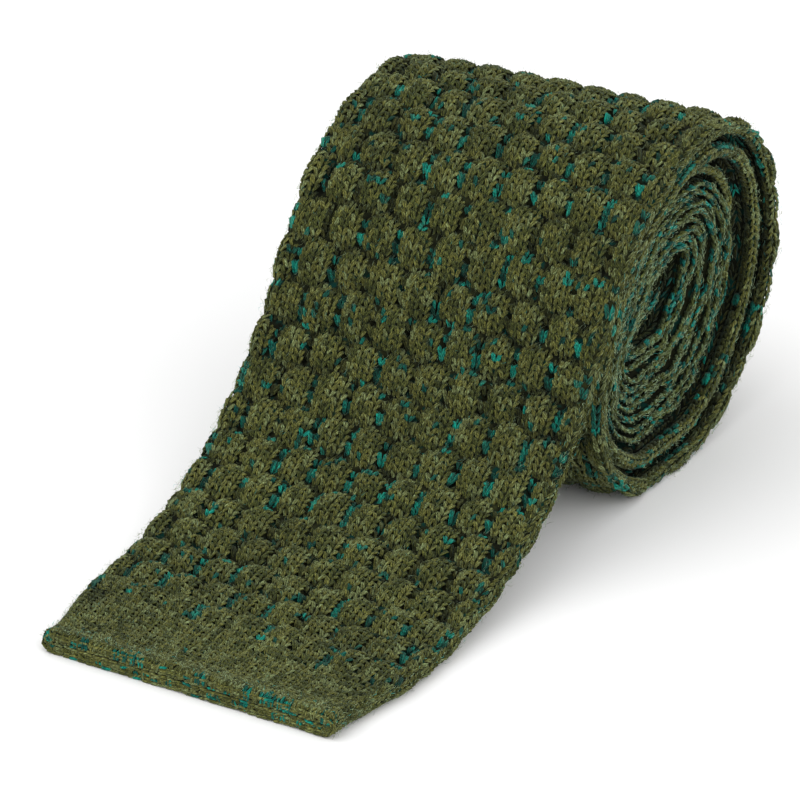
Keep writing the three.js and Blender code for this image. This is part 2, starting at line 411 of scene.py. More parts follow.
# Closed tapered threads, each along a row of centres, with a ring of points at every inner centre
def spindles(name, centres, normals, half_wide, half_high, ring_sizes, tone, teal, hollow_shade, material,
             sides=4):
    count, stops = centres.shape[:2]
    ahead = np.zeros_like(centres)
    ahead[:, 1:-1] = centres[:, 2:] - centres[:, :-2]
    ahead /= np.maximum(np.linalg.norm(ahead, axis=2, keepdims=True), 1e-9)
    across = np.cross(normals, ahead)
    across /= np.maximum(np.linalg.norm(across, axis=2, keepdims=True), 1e-9)
    up = np.cross(ahead, across)
    angles = 2 * np.pi * (np.arange(sides) + 0.5) / sides
    length = np.linalg.norm(np.diff(centres, axis=1), axis=2).cumsum(1)
    rings = stops - 2
    points = np.zeros((count, 2 + rings * sides, 3))
    yarn = np.zeros((count, 2 + rings * sides, 3))
    points[:, 0] = centres[:, 0]
    points[:, -1] = centres[:, -1]
    yarn[:, -1, 2] = length[:, -1]
    for ring in range(rings):
        size = ring_sizes[ring]
        for side, angle in enumerate(angles):
            spot = 1 + ring * sides + side
            wide = (half_wide * size)[:, None] * math.cos(angle) * across[:, ring + 1]
            high = (half_high * size)[:, None] * math.sin(angle) * up[:, ring + 1]
            points[:, spot] = centres[:, ring + 1] + wide + high
            yarn[:, spot] = np.stack([
                np.full(count, math.cos(angle)), np.full(count, math.sin(angle)), length[:, ring]], 1)
    points[..., 2] = np.maximum(points[..., 2], FLOOR_CLEARANCE)
    yarn[..., 2] += rng.uniform(0, 400, count)[:, None]
    faces, counts, uvs = [], [], []
    last = 1 + rings * sides
    heights = np.concatenate([[0], (np.arange(rings) + 0.7) / (rings + 0.4), [1]])
    for side in range(sides):
        after = (side + 1) % sides
        left, right = side / sides, (side + 1) / sides
        faces += [0, 1 + after, 1 + side]
        uvs += [((left + right) / 2, 0), (right, heights[1]), (left, heights[1])]
        counts.append(3)
        for ring in range(rings - 1):
            base = 1 + ring * sides
            faces += [base + side, base + after, base + sides + after, base + sides + side]
            uvs += [(left, heights[ring + 1]), (right, heights[ring + 1]),
                    (right, heights[ring + 2]), (left, heights[ring + 2])]
            counts.append(4)
        base = 1 + (rings - 1) * sides
        faces += [base + side, base + after, last]
        uvs += [(left, heights[rings]), (right, heights[rings]), ((left + right) / 2, 1)]
        counts.append(3)
    faces, uvs = np.array(faces), np.array(uvs)
    per = points.shape[1]
    all_faces = (faces[None, :] + per * np.arange(count)[:, None]).ravel()
    cells = math.ceil(math.sqrt(count))
    cell = np.stack([np.arange(count) % cells, np.arange(count) // cells], 1)
    all_uvs = (cell[:, None, :] + 0.06 + 0.88 * uvs[None]) / cells
    # hollow_shade is the painted shade each thread carries into its colour
    floats = [
        ("yarn", yarn.reshape(-1, 3)),
        ("tone", np.repeat(tone, per)),
        ("teal", np.repeat(teal, per)),
        ("hollow_shade", np.repeat(hollow_shade, per)),
    ]
    return new_mesh(name, points.reshape(-1, 3), all_faces, np.tile(counts, count), material,
                    all_uvs.reshape(-1, 2), floats)


# How far teal shows along the blade: the distance from the hem in mm, and a strength from 0 to 1
TEAL_ROWS = [
    (0, 0.1), (20, 0.25), (24, 0.8), (34, 0.9), (38, 0.45), (56, 0.4), (60, 0.75), (66, 0.6), (72, 1.0),
    (86, 1.0), (90, 0.5), (102, 0.55), (106, 0.95), (122, 0.95), (126, 0.8), (138, 0.95), (150, 0.7),
    (170, 0.9), (200, 0.7), (240, 0.85), (300, 0.7), (400, 0.8), (1600, 0.8),
]


def teal_strength(distance):
    rows = np.array(TEAL_ROWS, float)
    return np.interp(distance, rows[:, 0], rows[:, 1])


# Two lucks for each valley between bubbles: for its stitches, and for their teal
valley_luck = rng.random((LUCK_ROWS, LUCK_COLUMNS, 2))


def luck_of(row, wale):
    column = np.floor((wale - HALF_BUBBLE * (row % 2)) / BUBBLE_WALES)
    luck = valley_luck[row.astype(int) % LUCK_ROWS, column.astype(int) % LUCK_COLUMNS]
    return luck[:, 0], luck[:, 1]


# In a valley that holds a string of teal stitches: a stitch's course, and the chance that it is teal
STRING_CHANCES = ((-3, 0.5), (-2, 0.85), (-1, 1.0), (0, 0.85), (1, 0.8), (2, 0.45))


# The stitches of one stretch: wale, course, whether long, whether teal. In a valley one long stitch often
# takes the place of three, and the neck and the tail have no bubbles.
def stitch_grid(wale_low, wale_high, course_low, course_high, wales):
    bubbles = wales == BLADE_WALES
    wale, course = np.meshgrid(np.arange(wale_low, wale_high), np.arange(course_low, course_high))
    wale, course = wale.ravel() + 0.0, course.ravel() + 0.0
    kept = knit_distance(wale, course, wales) > 0.5
    wale, course = wale[kept], course[kept]
    row = bubble_row(course)
    across, along, _ = bubble_place(wale, course, row)
    in_bubbles = bubbles & (course >= FIRST_COURSE)
    valley = in_bubbles & (np.abs(np.abs(across) - HALF_BUBBLE) < 0.5)
    luck, teal_luck = luck_of(row, wale)
    slipped = valley & (luck < 0.72)
    long_stitch = slipped & (along == -1)
    kept = ~(slipped & ((along == 0) | (along == -2)))
    wale, course, across, along = wale[kept], course[kept], across[kept], along[kept]
    long_stitch, valley, in_bubbles = long_stitch[kept], valley[kept], in_bubbles[kept]
    strength = teal_strength(course_distance(course))
    cluster = 0.5 + 0.5 * np.sin(0.55 * wale + 2.1 * np.sin(0.11 * course + 0.05 * wale))
    string = valley & (teal_luck[kept] < strength * (0.32 + 0.64 * cluster))
    plain_chance = 0.002 if bubbles else 0.22
    chance = np.where(in_bubbles, 0.006 + 0.012 * strength, plain_chance)
    top = in_bubbles & (np.abs(across) < 1.6) & (along == 2)
    chance = np.where(top, 0.09 * strength ** 2 * cluster, chance)
    chance = np.where(valley, 0.05 * strength, chance)
    for course_in_valley, string_chance in STRING_CHANCES:
        chance = np.where(string & (along == course_in_valley), string_chance, chance)
    teal = rng.random(len(wale)) < chance
    return wale, course, long_stitch, teal


# The two plies of each leg, which cross over as the yarn is spun
def ply_pair(centres, normals, offset):
    ahead = np.gradient(centres, axis=1)
    across = np.cross(normals, ahead)
    across /= np.maximum(np.linalg.norm(across, axis=2, keepdims=True), 1e-9)
    start = rng.normal(0, 0.25, len(centres))[:, None]
    spin = start + np.radians(np.linspace(-70, 70, centres.shape[1]))[None]
    shift = np.cos(spin)[..., None] * across + np.sin(spin)[..., None] * normals
    shift[:, [0, -1]] *= 0.5
    shift *= offset[:, None, None]
    return centres + shift, centres - shift


# Each leg as stops: out from the wale's middle in wales, up in courses, and depth in mm.
# The first figures are a plain stitch's, the second a long one's.
LEG_STOPS = [
    ((0.06, -0.78, -0.68), (0.00, -1.60, -0.60)),
    ((0.16, -0.32, -0.28), (0.12, -0.80, -0.10)),
    ((0.36, 0.44, -0.28), (0.36, 0.45, -0.05)),
    ((0.47, 0.98, -0.85), (0.50, 1.20, -0.70)),
]
LEG_RINGS = (1.0, 0.95)


def doubled(values):
    return np.concatenate([values, values])


# Each stitch as two legs, of one thick thread or of two plies
def stitch_legs(name, stitches, wales, material, squash=1.0, plies=2, thin=1.0):
    wale, course, long_stitch, teal = stitches
    count = len(wale)
    wobble = rng.normal(0, 0.05, (count, 2))
    lean = rng.normal(0, 0.045, (count, 2))
    lean += np.where(long_stitch, rng.normal(0, 0.14, count), 0)[:, None]
    side = np.repeat([[-1.0, 1.0]], count, 0)
    distance = knit_distance(wale, course, wales)[:, None]
    # Painted shade: how deep the stitch sits in a hollow, raised to full in the grooves by covered folds and
    # on the underside beneath the roll; it also thins the legs in hollows
    hollow_shade = np.clip(-surface_depth(wale, course, wales) / (BUBBLE_SINK + VALLEY_DIP), 0, 1)[:, None]
    groove = smooth_step(fold_share(wale[:, None] + 0.25 * side, distance, wales), 0.55, 1.2)
    lower = (np.cos(2 * np.pi * wale / wales) < 0)[:, None]
    below = lower * smooth_step(distance, MARKS["roll"], MARKS["roll"] + 20)
    covered = np.maximum(smooth_step(distance, turn_at(0.9), turn_at(1.1)), below)
    hollow_shade = np.maximum(hollow_shade, groove * covered).ravel()
    centres, normals = [], []
    drop = np.where(long_stitch, rng.uniform(0.7, 1.1, count), 1)[:, None]
    for plain, slipped in LEG_STOPS:
        out, up, depth = (np.where(long_stitch, b, a)[:, None] for a, b in zip(plain, slipped))
        out, up = out * drop, up * drop
        w = wale[:, None] + side * (out + wobble * 0.6) + lean * up
        n = course[:, None] + up + wobble[:, ::-1]
        base = surface_depth(w, n, wales)
        point, normal = knit_point(w, n, base + depth * squash, wales)
        centres.append(point.reshape(-1, 3))
        normals.append(normal.reshape(-1, 3))
    centres, normals = np.stack(centres, 1), np.stack(normals, 1)
    long_leg, teal_leg, course_leg = (np.repeat(values, 2) for values in (long_stitch, teal, course))
    thick = thin * rng.uniform(0.85, 1.15, count * 2) * np.where(long_leg, 1.18, 1)
    thick *= 1.08 - 0.16 * hollow_shade * ~long_leg
    tone = np.repeat(rng.uniform(0, 1, count), 2)
    tone = np.clip(tone + rng.normal(0, 0.2, count * 2), 0, 1)
    fleck_chance = np.where(course_leg < FIRST_COURSE, 0.003, 0.028)
    fleck = (rng.random(count * 2) < fleck_chance) & ~teal_leg
    tone[fleck] *= 0.6
    blue = np.where(teal_leg | fleck, rng.uniform(0.85, 1, count * 2), 0)
    if plies == 1:
        half_wide, half_high = thick * 1.75 * YARN_HALF, thick * 1.45 * YARN_HALF
        return spindles(name, centres, normals, half_wide, half_high, LEG_RINGS, tone, blue, hollow_shade,
                        material, 3)
    spun = np.concatenate(ply_pair(centres, normals, PLY_OFFSET * thick))
    half = doubled(thick) * YARN_HALF
    tone = np.clip(doubled(tone) + rng.normal(0, 0.14, count * 4), 0, 1)
    return spindles(name, spun, doubled(normals), half, half, LEG_RINGS, tone, doubled(blue),
                    doubled(hollow_shade), material, 3)


def principled(material):
    material.use_nodes = True
    return material.node_tree.nodes["Principled BSDF"], material.node_tree


def node(tree, kind, **settings):
    made = tree.nodes.new(kind)
    for key, value in settings.items():
        setattr(made, key, value)
    return made


def feed(tree, socket, value):
    if isinstance(value, tuple):
        socket.default_value = (*value, 1)
    elif isinstance(value, (int, float)):
        socket.default_value = value
    elif value is not None:
        tree.links.new(value, socket)


def math_node(tree, operation, a, b=None):
    made = node(tree, "ShaderNodeMath", operation=operation)
    feed(tree, made.inputs[0], a)
    feed(tree, made.inputs[1], b)
    return made.outputs[0]


def ramp(tree, fac, stops):
    made = node(tree, "ShaderNodeValToRGB")
    elements = made.color_ramp.elements
    while len(elements) < len(stops):
        elements.new(0.5)
    for element, (position, colour) in zip(elements, stops):
        element.position = position
        element.color = (*colour, 1)
    tree.links.new(fac, made.inputs[0])
    return made.outputs[0]


def mix_colour(tree, fac, a, b, blend="MIX"):
    made = node(tree, "ShaderNodeMix", data_type="RGBA", blend_type=blend)
    for number, value in ((0, fac), (6, a), (7, b)):
        feed(tree, made.inputs[number], value)
    return made.outputs[2]


def attribute(tree, label, output="Fac"):
    return node(tree, "ShaderNodeAttribute", attribute_name=label).outputs[output]


def set_inputs(owner, values):
    for label, value in values.items():
        owner.inputs[label].default_value = value


def noise(tree, vector, values):
    made = node(tree, "ShaderNodeTexNoise")
    set_inputs(made, values)
    tree.links.new(vector, made.inputs["Vector"])
    return made.outputs["Fac"]


def bump(tree, shader, height, strength, distance):
    made = node(tree, "ShaderNodeBump")
    set_inputs(made, {"Strength": strength, "Distance": distance})
    tree.links.new(height, made.inputs["Height"])
    tree.links.new(made.outputs[0], shader.inputs["Normal"])


# Colours of the yarn by its tone
OLIVES = [
    (0.0, (0.023, 0.026, 0.007)),
    (0.35, (0.055, 0.061, 0.016)),
    (0.7, (0.100, 0.096, 0.024)),
    (1.0, (0.128, 0.156, 0.076)),
]
TEALS = [(0.1, (0.001, 0.026, 0.021)), (0.5, (0.001, 0.100, 0.082)), (0.95, (0.003, 0.260, 0.210))]

# What darkens or lightens the yarn: painted shade in a hollow or a groove between turns (a little lighter on
# open tops), fibres in olive and in teal, broad patches
HOLLOW_SHADES = [(0.1, (1.08, 1.08, 1.08)), (0.5, (0.68, 0.68, 0.68)), (1.0, (0.24, 0.24, 0.24))]
STREAKS = [(0.34, (0.26, 0.26, 0.25)), (0.5, (0.9, 0.9, 0.88)), (0.68, (2.5, 2.55, 2.45))]
GLINTS = [(0.34, (0.4, 0.4, 0.4)), (0.5, (0.85, 0.85, 0.85)), (0.68, (1.8, 1.8, 1.7))]
PATCHES = [(0.3, (0.84, 0.84, 0.84)), (0.7, (1.14, 1.14, 1.14))]

# Colours of the base shells, near-black as painted shade between the stitches and darker still in hollows,
# and where teal shows on them
BASE_SHADE_RAISED = [(0.3, (0.006, 0.007, 0.002)), (0.7, (0.026, 0.030, 0.009))]
BASE_SHADE_HOLLOW = [(0.3, (0.001, 0.002, 0.001)), (0.7, (0.006, 0.007, 0.003))]
BASE_TEAL = (0.001, 0.022, 0.017)
FLOATS = [(0.54, (0, 0, 0)), (0.66, (1, 1, 1))]

# Colours of the loose fibres
PALES = [(0.0, (0.10, 0.11, 0.04)), (0.6, (0.18, 0.23, 0.12)), (1.0, (0.27, 0.37, 0.24))]
FIBRE_TEAL = (0.02, 0.22, 0.20)
SHEEN_TINT = (0.6, 0.8, 0.62, 1)


# A point round the yarn and along it, turned so that the fibres lie spun
def spun_strand(tree):
    parts = node(tree, "ShaderNodeSeparateXYZ")
    tree.links.new(attribute(tree, "yarn", "Vector"), parts.inputs[0])
    angle = math_node(tree, "ARCTAN2", parts.outputs[1], parts.outputs[0])
    spun = math_node(tree, "ADD", angle, math_node(tree, "MULTIPLY", parts.outputs[2], YARN_TWIST))
    strand = node(tree, "ShaderNodeCombineXYZ")
    tree.links.new(math_node(tree, "COSINE", spun), strand.inputs[0])
    tree.links.new(math_node(tree, "SINE", spun), strand.inputs[1])
    tree.links.new(math_node(tree, "MULTIPLY", parts.outputs[2], 0.9), strand.inputs[2])
    return strand.outputs[0]


def yarn_material(name, tint):
    material = bpy.data.materials.new(name)
    shader, tree = principled(material)
    fibres = noise(tree, spun_strand(tree), {"Scale": 1.5, "Detail": 2.5, "Roughness": 0.7})
    spot = node(tree, "ShaderNodeTexCoord").outputs["Object"]
    patches = noise(tree, spot, {"Scale": 60})
    mixed = math_node(tree, "ADD", math_node(tree, "MULTIPLY", attribute(tree, "tone"), 0.75), fibres)
    shade = math_node(tree, "SUBTRACT", mixed, 0.38)
    olive = mix_colour(tree, 1.0, ramp(tree, shade, OLIVES), ramp(tree, fibres, STREAKS), "MULTIPLY")
    # Painted shade: the yarn darkens where it lies in a hollow or a groove
    olive = mix_colour(tree, 1.0, olive, ramp(tree, attribute(tree, "hollow_shade"), HOLLOW_SHADES), "MULTIPLY")
    blue = mix_colour(tree, 1.0, ramp(tree, shade, TEALS), ramp(tree, fibres, GLINTS), "MULTIPLY")
    colour = mix_colour(tree, attribute(tree, "teal"), olive, blue)
    colour = mix_colour(tree, 1.0, colour, ramp(tree, patches, PATCHES), "MULTIPLY")
    colour = mix_colour(tree, 1.0, colour, tint, "MULTIPLY")
    tree.links.new(colour, shader.inputs["Base Color"])
    bump(tree, shader, fibres, 0.8, 0.0002)
    set_inputs(shader, {
        "Roughness": 0.92,
        "Specular IOR Level": 0.1,
        "Sheen Weight": 0.13,
        "Sheen Roughness": 0.5,
        "Sheen Tint": SHEEN_TINT,
    })
    return material


def base_material():
    material = bpy.data.materials.new("knit_base")
    shader, tree = principled(material)
    spot = node(tree, "ShaderNodeTexCoord").outputs["Object"]
    grain = noise(tree, spot, {"Scale": 900, "Detail": 3})
    floats = noise(tree, spot, {"Scale": 420})
    raised, hollow = ramp(tree, grain, BASE_SHADE_RAISED), ramp(tree, grain, BASE_SHADE_HOLLOW)
    # Painted shade: the near-black base is darker still where it lies in a hollow
    olive = mix_colour(tree, attribute(tree, "hollow_shade"), raised, hollow)
    colour = mix_colour(tree, ramp(tree, floats, FLOATS), olive, BASE_TEAL)
    tree.links.new(colour, shader.inputs["Base Color"])
    bump(tree, shader, grain, 0.6, 0.0003)
    set_inputs(shader, {"Roughness": 0.95, "Specular IOR Level": 0.1})
    return material


# Faces and texture corners of a grid, closed round each row
def ring_grid(rows, count, first=0):
    r = np.arange(rows - 1)[:, None] * count + first
    k = np.arange(count)[None]
    after = (k + 1) % count
    quads = np.stack([r + k, r + after, r + count + after, r + count + k], -1).reshape(-1, 4)
    u, v = np.broadcast_arrays(k / count, np.arange(rows - 1)[:, None] / rows)
    corners = [(0, 0), (1, 0), (1, 1), (0, 1)]
    uvs = np.stack([np.stack([u + a / count, v + b / rows], -1) for a, b in corners], -2)
    return quads, uvs.reshape(-1, 4, 2)


# Texture corners of count faces in a row, by step and level
def corner_strip(count, corners):
    k = np.arange(count)
    return np.stack([np.stack([(k + step) / count, 0 * k + level], -1) for step, level in corners], 1)


# Faces between two loops of points
def cap_ring(outer, inner, level):
    after = (np.arange(len(outer)) + 1) % len(outer)
    quads = np.stack([outer, inner, inner[after], outer[after]], -1)
    return quads, corner_strip(len(outer), ((0, level), (0, level + 0.01), (1, level + 0.01), (1, level)))


# Points along the slit between the two layers, one for each point of the outer ring
def slit_points(row, ring, wales, gap):
    row = row[:, None]
    half, quarter = wales / 2, wales / 4
    c = (ring + half) % wales - half
    upper = np.abs(c) <= quarter
    share = np.where(upper, c / quarter, np.sign(c) * (half - np.abs(c)) / (half - quarter))
    x = share[None] * (row[..., WIDTH] / 2 - 0.5 * row[..., THICKNESS])
    closing = np.clip((1 - np.abs(share)) * 12, 0, 1)
    lift = np.where(upper, 0.5, -0.5)[None] * gap[:, None] * closing[None]
    slide = -row[..., SKEW] * x / row[..., WIDTH]
    y = row[..., Y] + row[..., OUT_Y] * lift + row[..., OUT_Z] * slide
    z = row[..., Z] + row[..., OUT_Z] * lift - row[..., OUT_Y] * slide
    return np.stack([x + row[..., SIDEWAYS], y, z], -1)


# Faces that close both ends of a tube, each round a middle point that comes after the tube's points
def end_caps(rows, count):
    k = np.arange(count)
    after = (k + 1) % count
    end = (rows - 1) * count
    first_hub, last_hub = 0 * k + rows * count, 0 * k + rows * count + 1
    first_cap = np.stack([k, first_hub, first_hub, after], -1)
    last_cap = np.stack([end + k, end + after, last_hub, last_hub], -1)
    uvs = corner_strip(count, ((0, 0.97), (0.5, 0.98), (0.5, 0.98), (1, 0.97)))
    return [first_cap, last_cap], [uvs, uvs[:, [0, 3, 1, 1]] + [0, 0.015]]


# Faces and texture corners of a shell with a slit all through it, as an inner tube joined at both ends
def mouth_faces(rows, count, quads, uvs):
    inner, inner_uvs = ring_grid(rows, count, rows * count)
    first = np.arange(count)
    last = first + (rows - 1) * count
    caps = [cap_ring(first, first + rows * count, 0.96), cap_ring(last + rows * count, last, 0.98)]
    quads = [quads, inner[:, ::-1], *(cap[0] for cap in caps)]
    uvs = [uvs * [1, 0.47], inner_uvs[:, ::-1] * [1, 0.46] + [0, 0.48], *(cap[1] for cap in caps)]
    return np.concatenate(quads), np.concatenate(uvs)


# How deep the base shell lies under each stitch, and how far that place is a hollow, which darkens it with
# painted shade
def shell_depth(ring, courses, wales, sink):
    depth = surface_depth(ring[None], courses[:, None], wales)
    hollow = smooth_step(-depth, -0.4, 0.5)
    along = knit_distance(ring[None], courses[:, None], wales)
    share = fold_share(ring[None], along, wales)
    depth = depth - sink * (1 - 0.6 * np.exp(-(share / 1.2) ** 2))
    hidden = (1 - open_share(ring[None], along, wales)) * smooth_step(share, 1.8, 2.8)
    depth += (0.1 - depth) * hidden
    return depth, hollow


# The closed tube under the stitches, with the slit between its layers where it has a mouth
def shell(name, first, last, wales, material, spacing=(1, 1), sink=0.52, mouth=False):
    courses = np.arange(first, last + 1e-6, spacing[0])
    ring = np.arange(0, wales, spacing[1]) + 0.0
    depth, hollow = shell_depth(ring, courses, wales, sink)
    distances = np.maximum(course_distance(courses), 0)
    if mouth:
        outer, _ = place(ring[None], distances[:, None], depth, wales)
    else:
        outer, _ = knit_point(ring[None], courses[:, None], depth, wales)
    rows, count = outer.shape[:2]
    quads, uvs = ring_grid(rows, count)
    if mouth:
        gap = LAYER_GAP + (MOUTH_GAP - LAYER_GAP) * (1 - smooth_step(distances, 0, END_LENGTH))
        slit = slit_points(path_at(distances), ring, wales, gap * 0.5)
        points = np.concatenate([outer.reshape(-1, 3), slit.reshape(-1, 3)])
        quads, uvs = mouth_faces(rows, count, quads, uvs)
    else:
        points = np.concatenate([outer.reshape(-1, 3), outer[:1].mean(1), outer[-1:].mean(1)])
        caps, cap_uvs = end_caps(rows, count)
        quads = np.concatenate([quads, *caps])
        uvs = np.concatenate([uvs * [1, 0.96], *cap_uvs])
    triangle = (quads[:, 1] == quads[:, 2]) | (quads[:, 2] == quads[:, 3])
    keep = np.ones(quads.shape, bool)
    keep[triangle, 2] = False
    # Painted shade: the slit and the caps get the darkest colour, the rest of the shell by how hollow it lies
    hollow_shade = np.ones(len(points))
    hollow_shade[:hollow.size] = hollow.ravel()
    sizes = np.where(triangle, 3, 4)
    return new_mesh(name, points, quads[keep], sizes, material, uvs[keep], [("hollow_shade", hollow_shade)])


# Yarn that wraps the cut edge of both layers at the mouth
def hem_ticks(name, wales, material):
    wale = np.arange(0, wales, 0.5)
    count = len(wale)
    slope = np.where(wale % 1 < 0.4, 0.2, -0.2) + rng.normal(0, 0.14, count)
    start = rng.uniform(1.2, 3.0, count)
    upper = np.cos(2 * np.pi * wale / wales) > 0
    inner = np.where(upper, -3.0, -2.4) + 0.12 * np.sin(wale * 0.6)
    stops = (
        (start, -0.7, 0.0),
        (start * 0.55, -0.42, 0.0),
        (0.2, -0.62, -0.12),
        (0.0, inner * 0.7, -0.2),
        (0.9, inner, 0.1),
    )
    centres, normals = [], []
    for step, (distance, depth, ahead) in enumerate(stops):
        jitter = rng.normal(0, 0.06, (count, 2))
        point, normal = place(wale + slope * (step - 2) / 2, distance, depth + jitter[:, 0], wales)
        point[:, 1] += ahead + jitter[:, 1]
        centres.append(point)
        normals.append(normal + np.array([0, -0.8, 0]))
    cluster = 0.5 + 0.5 * np.sin(wale * 0.83 + 1.2 * np.sin(wale * 0.31))
    chance = np.where(upper, 0.15 + 0.7 * cluster ** 2, 0.1 + 0.2 * cluster)
    teal = (np.repeat(rng.random(count // 2), 2) < chance) * 1.0
    thick = rng.uniform(0.75, 1.0, count)
    tone = rng.uniform(0.1, 1.0, count * 2)
    centres, normals = np.stack(centres, 1), np.stack(normals, 1)
    spun = np.concatenate(ply_pair(centres, normals, PLY_OFFSET * thick))
    half = doubled(thick) * HEM_YARN_HALF
    return spindles(name, spun, doubled(normals), half, half, (1.0, 1.0, 1.0), tone, doubled(teal),
                    np.full(count * 2, 0.1), material)


# Rows of slanted stitches over the cut edge: layer (1 upper, -1 lower), and depth and slant in mm
BRAID_ROWS = (
    (1, -1.0, 0.25), (1, -1.6, -0.25), (1, -2.2, 0.25),
    (-1, -0.45, 0.22), (-1, -1.05, -0.25), (-1, -1.65, 0.25), (-1, -2.2, -0.2),
)

# The stops of those stitches: across in wales, and ahead in mm
BRAID_STOPS = ((-0.95, 0.1), (-0.35, -0.3), (0.4, -0.3), (1.0, 0.1))


def hem_braid(name, wales, material):
    near = np.arange(-wales / 4, wales / 4, 1.0)
    centres, teal = [], []
    for layer, depth, slant in BRAID_ROWS:
        wale = near + (0 if layer > 0 else wales / 2) + rng.normal(0, 0.1, len(near))
        row_centres = []
        for step, (across, ahead) in enumerate(BRAID_STOPS):
            level = depth + slant * (step - 1.5) / 1.5 + rng.normal(0, 0.05, len(near))
            point, _ = place(wale + across, 0.3, level, wales)
            point[:, 1] += ahead + 0.1 * np.sin(wale * 0.9 + depth * 4)
            row_centres.append(point)
        centres.append(np.stack(row_centres, 1))
        teal.append(rng.random(len(near)) < 0.07)
    centres, teal = np.concatenate(centres), np.concatenate(teal) * 1.0
    count = len(centres)
    normals = np.broadcast_to([0.0, -1.0, 0.0], centres.shape)
    size = rng.uniform(0.27, 0.34, count)
    return spindles(name, centres, normals, size, size, (1.0, 1.0), rng.uniform(0.3, 1, count), teal,
                    np.full(count, 0.1), material)


# Loose fibres: rise says how far they stand off the yarn, and along how closely they follow it
def fuzz(name, wale, distance, wales, material, reach, rise, along, sink, thin):
    count = len(wale)
    depth = surface_depth(wale, course_at(distance), wales) - sink
    root, normal = place(wale, distance, depth, wales)
    ahead, _ = place(wale, distance + 0.5, depth, wales)
    ahead = (ahead - root) / np.maximum(np.linalg.norm(ahead - root, axis=1), 1e-6)[:, None]
    ahead *= rng.choice([-1, 1], count)[:, None]
    spread = rng.normal(0, 1, (count, 3))
    lean = normal * (rise * rng.uniform(0.2, 1.6, count))[:, None] + along * ahead
    lean += 0.75 * spread / np.linalg.norm(spread, axis=1)[:, None]
    lean /= np.linalg.norm(lean, axis=1)[:, None]
    curl = np.cross(lean, rng.normal(0, 1, (count, 3)))
    length = reach * rng.uniform(0.9, 3.0, count)[:, None]
    centres = np.stack([root, root + lean * length * 0.5 + curl * length * 0.2, root + lean * length], 1)
    normals = np.repeat(normal[:, None], 3, 1)
    size = thin * rng.uniform(0.7, 1.3, count)
    tone = rng.uniform(0, 1, count)
    teal = (rng.random(count) < 0.1) * 1.0
    # Loose fibres get no painted shade
    hollow_shade = np.zeros(count)
    return spindles(name, centres, normals, size, size, (1.0,), tone, teal, hollow_shade, material, 3)


# A fibre material whose colour is scaled by gain; the high gain of the crest fibres is partly pale fibre and
# partly painted highlight
def fuzz_material(name, gain):
    material = bpy.data.materials.new(name)
    shader, tree = principled(material)
    colour = mix_colour(tree, attribute(tree, "teal"), ramp(tree, attribute(tree, "tone"), PALES), FIBRE_TEAL)
    colour = mix_colour(tree, 1.0, colour, (gain, gain, gain), "MULTIPLY")
    tree.links.new(colour, shader.inputs["Base Color"])
    set_inputs(shader, {
        "Roughness": 0.9,
        "Specular IOR Level": 0.1,
        "Sheen Weight": 0.15,
        "Sheen Tint": SHEEN_TINT,
    })
    return material


# Courses at which one stretch ends and the next starts, and the wales that show on the upper face
band_end = int(course_at(END_LENGTH))
roll_start = int(course_at(MARKS["roll"])) + 4
turn_end = int(course_at(turn_at(1.0)))
turn_middle = (roll_start + turn_end) // 2
wide_end = int(course_at(turn_at(MARKS["wide_end"])))
tail_start = int(course_at(turn_at(MARKS["tail"])))
tail_end = int(course_at(MARKS["end"]))
TOP_LOW, TOP_HIGH = -21, 22


def add_shells():
    under = base_material()
    return {
        "end_base": shell("end_base", 0, band_end, BLADE_WALES, under, mouth=True),
        "blade_base": shell("blade_base", band_end, wide_end, BLADE_WALES, under, (1.5, 1)),
        "neck_base": shell("neck_base", wide_end, tail_start, NECK_WALES, under, (3, 2), 0.25),
        "tail_base": shell("tail_base", tail_start, tail_end, NECK_WALES, under, (3, 2), 0.35),
    }


# Stitches by both folds, from one number of wales off the fold to another
def edge_grid(off_low, off_high, first, last, wales):
    fold = wales / 4
    sides = (
        (math.floor(fold + off_low), math.floor(fold + off_high)),
        (math.ceil(-fold - off_high) + 1, math.ceil(-fold - off_low) + 1),
    )
    right, left = (stitch_grid(low, high, first, last, wales) for low, high in sides)
    return tuple(np.concatenate(pair) for pair in zip(right, left))


